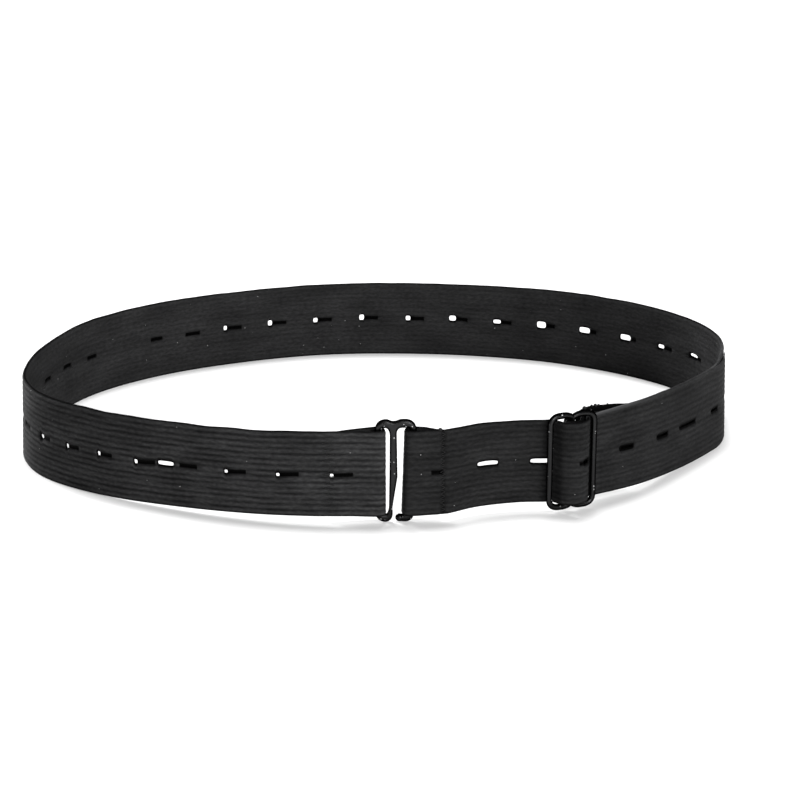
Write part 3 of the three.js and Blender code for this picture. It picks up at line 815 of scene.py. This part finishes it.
thread, thread_tree, thread_shader = new_material("black_thread")
thread_place = add_node(thread_tree, "ShaderNodeTexCoord").outputs["Object"]
thread_noise = add_node(
    thread_tree, "ShaderNodeTexNoise", {"Vector": thread_place, "Scale": 1800.0, "Detail": 2.0}
)
thread_bump = add_node(
    thread_tree,
    "ShaderNodeBump",
    {"Height": thread_noise.outputs[0], "Strength": 0.6, "Distance": 0.05 * MM},
)
thread_specks = add_group(thread_tree, lint_and_glints, Share=0.5)
thread_mix = mix_colour(thread_tree, thread_specks["Mask"], THREAD_COLOUR, LINT_COLOUR)
thread_tree.links.new(thread_mix, thread_shader.inputs["Base Color"])
thread_tree.links.new(thread_bump.outputs[0], thread_shader.inputs["Normal"])
thread_shader.inputs["Roughness"].default_value = 0.5
thread_shader.inputs["Specular IOR Level"].default_value = 0.25

# %% [markdown]
# The metal is dipped in black enamel. It has a soft gloss with a faint orange-peel skin, and it is
# a little duller in patches. The crest of every bar shines as a grey line, while
# its sides stay black. A plain varnish would shine most at its sides, so the shine is a metal's
# whose colour goes to black where the bar turns away from the eye. A few pale specks are painted
# on it as glints of light, fewer on the slider, so one function makes both from the glints' share.

# %% Black enamel
CREST_SHINE = (0.05, 0.05, 0.051, 1)
SIDE_SHINE = (0.003, 0.003, 0.003, 1)
# Pale specks painted on as glints of light
GLINT_COLOUR = (0.3, 0.3, 0.3, 1)
DULLNESS_MAP = (0.35, 0.7, 0.24, 0.42)
SIDE_MAP = (0.12, 0.42, 0.0, 1.0)


def enamel_material(name, glint_share):
    material, tree, shader = new_material(name)
    place = add_node(tree, "ShaderNodeTexCoord").outputs["Object"]
    skin = add_node(tree, "ShaderNodeTexNoise", {"Vector": place, "Scale": 900.0, "Detail": 1.0})
    rubbed = add_node(tree, "ShaderNodeTexNoise", {"Vector": place, "Scale": 260.0, "Detail": 5.0})
    dullness = remap(tree, rubbed.outputs[0], *DULLNESS_MAP)
    bump = add_node(
        tree,
        "ShaderNodeBump",
        {"Height": skin.outputs[0], "Strength": 0.25, "Distance": 0.05 * MM},
    )
    turned = add_node(tree, "ShaderNodeLayerWeight").outputs["Facing"]
    side_share = remap(tree, turned, *SIDE_MAP)
    shine = mix_colour(tree, side_share, CREST_SHINE, SIDE_SHINE)
    # Painted glints: pale matt specks where the enamel would sparkle
    glints = add_group(tree, lint_and_glints, Cell=1.2 * MM, Speck=0.15, Share=glint_share)["Mask"]
    glinted = mix_colour(tree, glints, shine, GLINT_COLOUR)
    unglinted = math_node(tree, "SUBTRACT", 1.0, glints)
    tree.links.new(glinted, shader.inputs["Base Color"])
    tree.links.new(unglinted, shader.inputs["Metallic"])
    tree.links.new(dullness, shader.inputs["Roughness"])
    tree.links.new(bump.outputs[0], shader.inputs["Normal"])
    shader.inputs["Specular Tint"].default_value = (0, 0, 0, 1)
    return material


# Both enamels get painted glints, the slider fewer
hook_enamel = enamel_material("black_enamel", 0.8)
slider_enamel = enamel_material("sparse_glint_enamel", 0.15)

# %% [markdown]
# ## Making the elastic
# Each sewn end is folded round the hook and held to its own band over its raw end. The seam lies
# where that end is, which is found by walking along the outer layer. The seam of the strap is
# pulled tighter, so it shows as an upright crease.

# %% Find the seams
SEARCH_STEPS = 200
MAIN_SEAM_BETWEEN = (20, 60)
STRAP_SEAM_FROM_END = (50, 16)
CREASE = 0.3
CREASE_PAST_END = 0.7


def nearest_distance(path, point, start, end):
    candidates = [start + (end - start) * i / SEARCH_STEPS for i in range(SEARCH_STEPS + 1)]
    return min(candidates, key=lambda d: (path.at(d)[0].xy - point.xy).length)


main_end = main_path.at(0)[0]
strap_end = strap_path.at(strap_path.length)[0]
seam_on_main = nearest_distance(main_path, main_end, *MAIN_SEAM_BETWEEN)
strap_seam_between = [strap_path.length - from_end for from_end in STRAP_SEAM_FROM_END]
seam_on_strap = nearest_distance(strap_path, strap_end, *strap_seam_between)
seam_on_strap += CREASE_PAST_END
print(f"seams at {seam_on_main:.1f} mm of the band and {seam_on_strap:.1f} mm of the strap")

main_seams = [Seam(seam_on_main, 0)]
strap_seams = [Seam(seam_on_strap, CREASE)]

# %% [markdown]
# The strap's tail is free, and thins out to a flat tip. Nothing holds the main band in beyond that
# tip, so there it swings out by more than the thickness of the tail and takes its tip along. Both
# pieces follow the same curve, so the gap between them stays small. The slider pulls the tail a
# little askew, so its upper edge covers that of the main band.

# %% Flat ends and the swing of the right bend
RAW_END = 6.0
RAW_PRESSED = 0.45
TAIL_PRESSED = 0.72
TAIL_THINNED = 14.0
TAIL_HUG, TAIL_HUG_REACH = 0.38, 18
SWING = 1.85
SWING_START, SWING_END = -26, 8
SWING_FADE_START, SWING_FADE_END = 12, 38
TAIL_RAISED = 1.45
RAISE_RISE, RAISE_FALL = (4, 30), (64, 82)
# Painted highlight on the upper selvedges round the right bend, painted shade under the strap
BEND_HIGHLIGHT, HIGHLIGHT_RISE, HIGHLIGHT_FALL = 0.5, (-75, -60), (-5, 30)
TAIL_HIGHLIGHT, WEDGE_HIGHLIGHT = 0.5, 0.85
WEDGE_RISE, WEDGE_FALL = (60, 68), (80, 86)
UNDER_STRAP_SHADE, UNDER_STRAP_RISE = 0.92, (1, 5)
TAIL_BETWEEN = (400, 540)
MAIN_FOLD_AFTER = 530


def eased(value, start, end):
    share = min(1, max(0, (value - start) / (end - start)))
    return share * share * (3 - 2 * share)


def swing_out(past_tail):
    """How far the elastic swings out at a distance past the tip of the tail."""
    fade = eased(past_tail, SWING_FADE_START, SWING_FADE_END)
    return SWING * eased(past_tail, SWING_START, SWING_END) * (1 - fade)


def main_pressed(distance):
    return RAW_PRESSED * (1 - eased(min(distance, main_path.length - distance), 0, RAW_END))


def strap_pressed(distance):
    tail = TAIL_PRESSED * (1 - eased(distance, 0, TAIL_THINNED))
    return max(tail, RAW_PRESSED * (1 - eased(strap_path.length - distance, 0, RAW_END)))


def main_swing(distance):
    return swing_out(tail_on_main - distance)


def strap_swing(distance):
    thinner = strap_pressed(distance) * ELASTIC_THICKNESS if distance < TAIL_THINNED else 0
    hug = TAIL_HUG * (1 - eased(distance, 0, TAIL_HUG_REACH))
    return swing_out(-distance) - thinner / 2 - hug


# Painted highlight on the band's upper selvedge round the right bend
def main_edge_highlight(distance):
    past_tail = tail_on_main - distance
    return BEND_HIGHLIGHT * eased(past_tail, *HIGHLIGHT_RISE) * (1 - eased(past_tail, *HIGHLIGHT_FALL))


def strap_raised(distance):
    raised = TAIL_RAISED * eased(distance, *RAISE_RISE)
    return raised * (1 - eased(distance, *RAISE_FALL))


# Painted highlight on the tail's upper selvedge, brightest over the wedge by the slider
def strap_edge_highlight(distance):
    worn = TAIL_HIGHLIGHT + (WEDGE_HIGHLIGHT - TAIL_HIGHLIGHT) * eased(distance, *WEDGE_RISE)
    return worn * (1 - eased(distance, *WEDGE_FALL))


def main_shaded(distance, is_outer):
    """Past the fold round the slider's bar it is the inner face that lies under the strap."""
    if bool(is_outer) == (distance > main_fold):
        return 0
    return UNDER_STRAP_SHADE * eased(distance - tail_on_main, *UNDER_STRAP_RISE)


def never(*_):
    return 0


tail_on_main = nearest_distance(main_path, strap_path.at(0)[0], *TAIL_BETWEEN)
main_fold = nearest_distance(main_path, slider_middle, MAIN_FOLD_AFTER, main_path.length)
print(f"the tail ends over {tail_on_main:.1f} mm of the band")
print(f"the band is folded round the slider's bar at {main_fold:.1f} mm")
main_habit = Habit(main_pressed, main_swing, never, main_edge_highlight, main_shaded)
strap_habit = Habit(strap_pressed, strap_swing, strap_raised, strap_edge_highlight, never)

# %% Make both pieces of elastic
main_mesh = elastic_strip(main_path, MAIN_SLITS, main_seams, 3, main_habit)
main_band = finish_piece(main_mesh, "main_elastic", band_elastic, "main_band")
strap_mesh = elastic_strip(strap_path, STRAP_SLITS, strap_seams, 11, strap_habit)
front_strap = finish_piece(
    strap_mesh, "strap_elastic", strap_elastic, "front_strap"
)


# %% [markdown]
# ## The stitches
# A zigzag holds each raw end. A curve with a bevel could draw the thread, but each stitch dives
# into the elastic at both of its ends, so a stitch is one long bead, and a seam is a row of them
# joined in one mesh.

# %% The stitches of one seam
STITCH_PITCH = 1.3
THREAD_RADIUS = 0.1
THREAD_FACETS = 6
SEAM_MARGIN = 0.8


def on_face(path, distance, share, lift):
    low, high, outward = path.at(distance)
    return low.lerp(high, share) + outward * lift


def add_stitch(mesh, start, end, outward):
    along = (end - start).normalized()
    across = outward.cross(along).normalized()
    turn = Matrix((along, across, along.cross(across))).transposed().to_4x4()
    half_length = (end - start).length / 2 + THREAD_RADIUS
    shape = Matrix.Diagonal((half_length, THREAD_RADIUS, THREAD_RADIUS, 1))
    place = Matrix.Translation((start + end) / 2) @ turn @ shape
    bmesh.ops.create_uvsphere(
        mesh, u_segments=THREAD_FACETS, v_segments=THREAD_FACETS, radius=1, matrix=place
    )


def sew(mesh, path, middle, lift, seam_width=SEAM_WIDTH):
    low, high, outward = path.at(middle)
    width = (high - low).length
    count = round((width - 2 * SEAM_MARGIN) / STITCH_PITCH)
    for i in range(2 * count):
        shares = [(SEAM_MARGIN + (i + k) * STITCH_PITCH / 2) / width for k in (0, 1)]
        sides = [(-1) ** (i + k) * seam_width / 2 for k in (0, 1)]
        ends = [on_face(path, middle + s, share, lift) for s, share in zip(sides, shares)]
        add_stitch(mesh, ends[0], ends[1], outward)


# %% Sew both ends
# Tufts of yarn on the frayed edge behind the slider: how far past the fold, and their radius
TUFTS = [(14.7, 0.6), (17.6, 0.4), (18.9, 0.5), (20.0, 0.35), (23.0, 0.3)]
FACE_LIFT = ELASTIC_THICKNESS / 2 - SEAM_DENT
TIGHT_SEAM = 1.4
RAW_END_MARGIN = 0.4
RAW_END_SUNK = 0.1
CREASE_LIFT = 0.05
KNOT_RADIUS = 0.5
KNOT_SHAPE = (1.2, 0.8, 1, 1)
KNOT_PAST_SEAM = 0.7
KNOT_RAISED = 0.05

raw_end_middle = SEAM_WIDTH / 2 + RAW_END_MARGIN
band_stitches = bmesh.new()
sew(band_stitches, main_path, seam_on_main, FACE_LIFT)
sew(band_stitches, main_path, raw_end_middle, FACE_LIFT - RAW_END_SUNK)
for past_fold, radius in TUFTS:
    tuft_place = Matrix.Translation(on_face(main_path, main_fold + past_fold, 1.0, 0))
    bmesh.ops.create_uvsphere(
        band_stitches, u_segments=12, v_segments=8, radius=radius, matrix=tuft_place
    )
band_seam = finish_piece(band_stitches, "band_seam", thread)
strap_stitches = bmesh.new()
sew(strap_stitches, strap_path, seam_on_strap, FACE_LIFT - CREASE + CREASE_LIFT, TIGHT_SEAM)
raw_end_of_strap = strap_path.length - raw_end_middle
sew(strap_stitches, strap_path, raw_end_of_strap, FACE_LIFT - RAW_END_SUNK)
knot_place = strap_path.at(seam_on_strap + KNOT_PAST_SEAM)[1] + Vector((0, 0, KNOT_RAISED))
knot_matrix = Matrix.Translation(knot_place) @ Matrix.Diagonal(KNOT_SHAPE)
bmesh.ops.create_uvsphere(
    strap_stitches, u_segments=12, v_segments=8, radius=KNOT_RADIUS, matrix=knot_matrix
)
strap_seam = finish_piece(strap_stitches, "strap_seam", thread)


# %% [markdown]
# ## The metal parts
# The hook and the slider are die cast and then dipped, so each is round bars that flow together.
# A bar is a round section repeated along its middle line: each ring of points is a circle put in
# place by a matrix, and a bridge closes the step between two rings. Bars that only cross would
# show a hard crease. A voxel remesh makes them one skin and a little smoothing rounds the corners,
# as the enamel does.

# %% Bars and bends in millimetres
METAL_DEPTH = 1.6
SECTION_POINTS = 20
VOXEL = 0.13
SMOOTHING = 4
Stop = namedtuple("Stop", "along height width")


def bend(first, corner, last, steps=7):
    """Stops of a bar that turns from first to last round a corner."""
    stops = []
    for i in range(steps + 1):
        u = i / steps
        weights = ((1 - u) ** 2, 2 * u * (1 - u), u * u)
        columns = zip(first, corner, last)
        stops.append(Stop(*(sum(w * c for w, c in zip(weights, column)) for column in columns)))
    return stops


def add_ring(mesh, stop, direction, capped):
    across = Vector((direction.z, 0, -direction.x))
    turn = Matrix((across, Vector((0, 1, 0)), direction)).transposed().to_4x4()
    shape = Matrix.Diagonal((stop.width / 2, METAL_DEPTH / 2, 1, 1))
    place = Matrix.Translation((stop.along, 0, stop.height)) @ turn @ shape
    made = bmesh.ops.create_circle(
        mesh, cap_ends=capped, segments=SECTION_POINTS, radius=1, matrix=place
    )
    return {edge for vert in made["verts"] for edge in vert.link_edges}


def add_bar(mesh, stops, closed=False):
    points = [Vector((stop.along, 0, stop.height)) for stop in stops]
    count = len(stops)
    rings = []
    for i, stop in enumerate(stops):
        before = points[i - 1] if closed or i else points[i]
        after = points[(i + 1) % count] if closed or i < count - 1 else points[i]
        capped = not closed and i in (0, count - 1)
        rings.append(add_ring(mesh, stop, (after - before).normalized(), capped))
    pairs = zip(rings, rings[1:] + rings[:1] if closed else rings[1:])
    for ring, following in pairs:
        bmesh.ops.bridge_loops(mesh, edges=[*ring, *following])


def cast(mesh, centre, turn):
    """One skin over all the bars, smoothed and put in its place."""
    rough = bpy.data.objects.new("rough", bpy.data.meshes.new("rough"))
    bmesh.ops.recalc_face_normals(mesh, faces=mesh.faces)
    mesh.to_mesh(rough.data)
    mesh.free()
    bpy.context.collection.objects.link(rough)
    remesh = rough.modifiers.new("skin", "REMESH")
    remesh.mode = "VOXEL"
    remesh.voxel_size = VOXEL
    evaluated = rough.evaluated_get(bpy.context.evaluated_depsgraph_get())
    skin = bmesh.new()
    skin.from_mesh(evaluated.to_mesh())
    bpy.data.objects.remove(rough)
    for _ in range(SMOOTHING):
        bmesh.ops.smooth_vert(
            skin, verts=skin.verts, factor=0.5, use_axis_x=True, use_axis_y=True, use_axis_z=True
        )
    place = Matrix.Translation(centre) @ Matrix.Rotation(turn, 4, "Z")
    bmesh.ops.transform(skin, matrix=place, verts=skin.verts)
    return skin


# %% [markdown]
# The hook is a closed loop on the left, whose right side is a bar that tapers to its foot. From
# the loop's top another bar goes over to the right and down, curls back under the strap and ends
# in a small ball, so the strap's fold can be slipped on and off. A short bar fills most of the dip
# between the two arches.

# %% The hook
HOOK_TURN = math.radians(3)
HOOK_MIDDLE_ALONG = -0.15
HOOK_TOP = 30.15

LEFT_BAR = -5.25
CENTRE_BAR = -0.94
RIM = 2.65
TOP_LINE = HOOK_TOP - RIM / 2 + 0.1
FOOT_LINE = RIM / 2 - 0.02

hook_mesh = bmesh.new()
loop_stops = [
    Stop(LEFT_BAR, 15, 1.3),
    *bend((LEFT_BAR, 26.2, 1.4), (LEFT_BAR, TOP_LINE, 2.2), (-3.3, TOP_LINE, RIM)),
    *bend((-2.8, TOP_LINE, RIM), (CENTRE_BAR, TOP_LINE - 0.6, 2.5), (CENTRE_BAR, 25.6, 2.0)),
    Stop(CENTRE_BAR + 0.05, 13.4, 2.3),
    *bend((-1.68, 4.2, 1.0), (-1.75, FOOT_LINE, 1.9), (-2.9, FOOT_LINE, RIM)),
    *bend((-3.3, FOOT_LINE, RIM), (LEFT_BAR, FOOT_LINE, 2.2), (LEFT_BAR, 4.2, 1.4)),
]
add_bar(hook_mesh, loop_stops, closed=True)
arm_stops = [
    *bend((CENTRE_BAR, 26, 1.9), (CENTRE_BAR + 0.1, TOP_LINE - 0.3, 2.3), (1.4, TOP_LINE, RIM)),
    *bend((2.5, TOP_LINE, RIM), (4.7, TOP_LINE, 2.2), (4.62, 26, 1.9)),
    *bend((3.86, 4, 2.0), (3.95, FOOT_LINE, 2.4), (2.5, FOOT_LINE, RIM)),
    Stop(1.6, FOOT_LINE - 0.1, 2.3),
    Stop(1.0, FOOT_LINE - 0.1, 2.1),
]
add_bar(hook_mesh, arm_stops)
bridge_stops = [
    Stop(-2.9, TOP_LINE, 2.0),
    Stop(-0.9, TOP_LINE - 0.25, 2.0),
    Stop(1.3, TOP_LINE, 2.0),
]
add_bar(hook_mesh, bridge_stops)
BALL = Matrix.Translation((0.75, 0, 1.25)) @ Matrix.Diagonal((1.2, 1.05, 1.15, 1))
bmesh.ops.create_uvsphere(hook_mesh, u_segments=20, v_segments=12, radius=1, matrix=BALL)

along_hook = Vector((math.cos(HOOK_TURN), math.sin(HOOK_TURN), 0))
hook_centre = hook_middle - along_hook * HOOK_MIDDLE_ALONG
hook_centre.z = low_corner.z
hook_skin = cast(hook_mesh, hook_centre, HOOK_TURN)
finish_piece(hook_skin, "hook", hook_enamel, "hook_clasp")

# %% [markdown]
# The slider is three upright bars joined by two round lobes at each end. The main band is folded
# round its centre bar, and the strap passes over that and behind both side bars.

# %% The slider
SLIDER_TURN = math.radians(20.3)
SLIDER_HEIGHT = 29.0
SIDE_BAR = 6.65
BAR_WIDTH = 1.7
LOBE_ALONG = 3.7
LOBE_HEIGHT = 0.95
DIP_HEIGHT = 1.85
BEND_HEIGHT = 3.6
CENTRE_BAR_END = 1.5


def slider_rim(flip):
    """Stops of one end, from the left bar to the right one."""
    height = lambda value: SLIDER_HEIGHT - value if flip else value
    lobe, dip, side = height(LOBE_HEIGHT), height(DIP_HEIGHT), height(BEND_HEIGHT)
    left = [
        *bend((-SIDE_BAR, side, BAR_WIDTH), (-SIDE_BAR, lobe, 1.8), (-LOBE_ALONG, lobe, 1.9)),
        *bend((-2.7, lobe, 1.9), (-1.3, lobe, 1.9), (0, dip, 1.9), steps=4),
    ]
    right = [Stop(-stop.along, stop.height, stop.width) for stop in reversed(left[:-1])]
    return left + right


slider_mesh = bmesh.new()
outline = slider_rim(False) + slider_rim(True)[::-1]
add_bar(slider_mesh, outline, closed=True)
centre_ends = (CENTRE_BAR_END, SLIDER_HEIGHT - CENTRE_BAR_END)
centre_stops = [Stop(0, height, BAR_WIDTH) for height in centre_ends]
add_bar(slider_mesh, centre_stops)
slider_centre = slider_middle.xy.to_3d()
slider_centre.z = slider_low.z
slider_skin = cast(slider_mesh, slider_centre, SLIDER_TURN)
finish_piece(slider_skin, "slider", slider_enamel, "slide_adjuster")
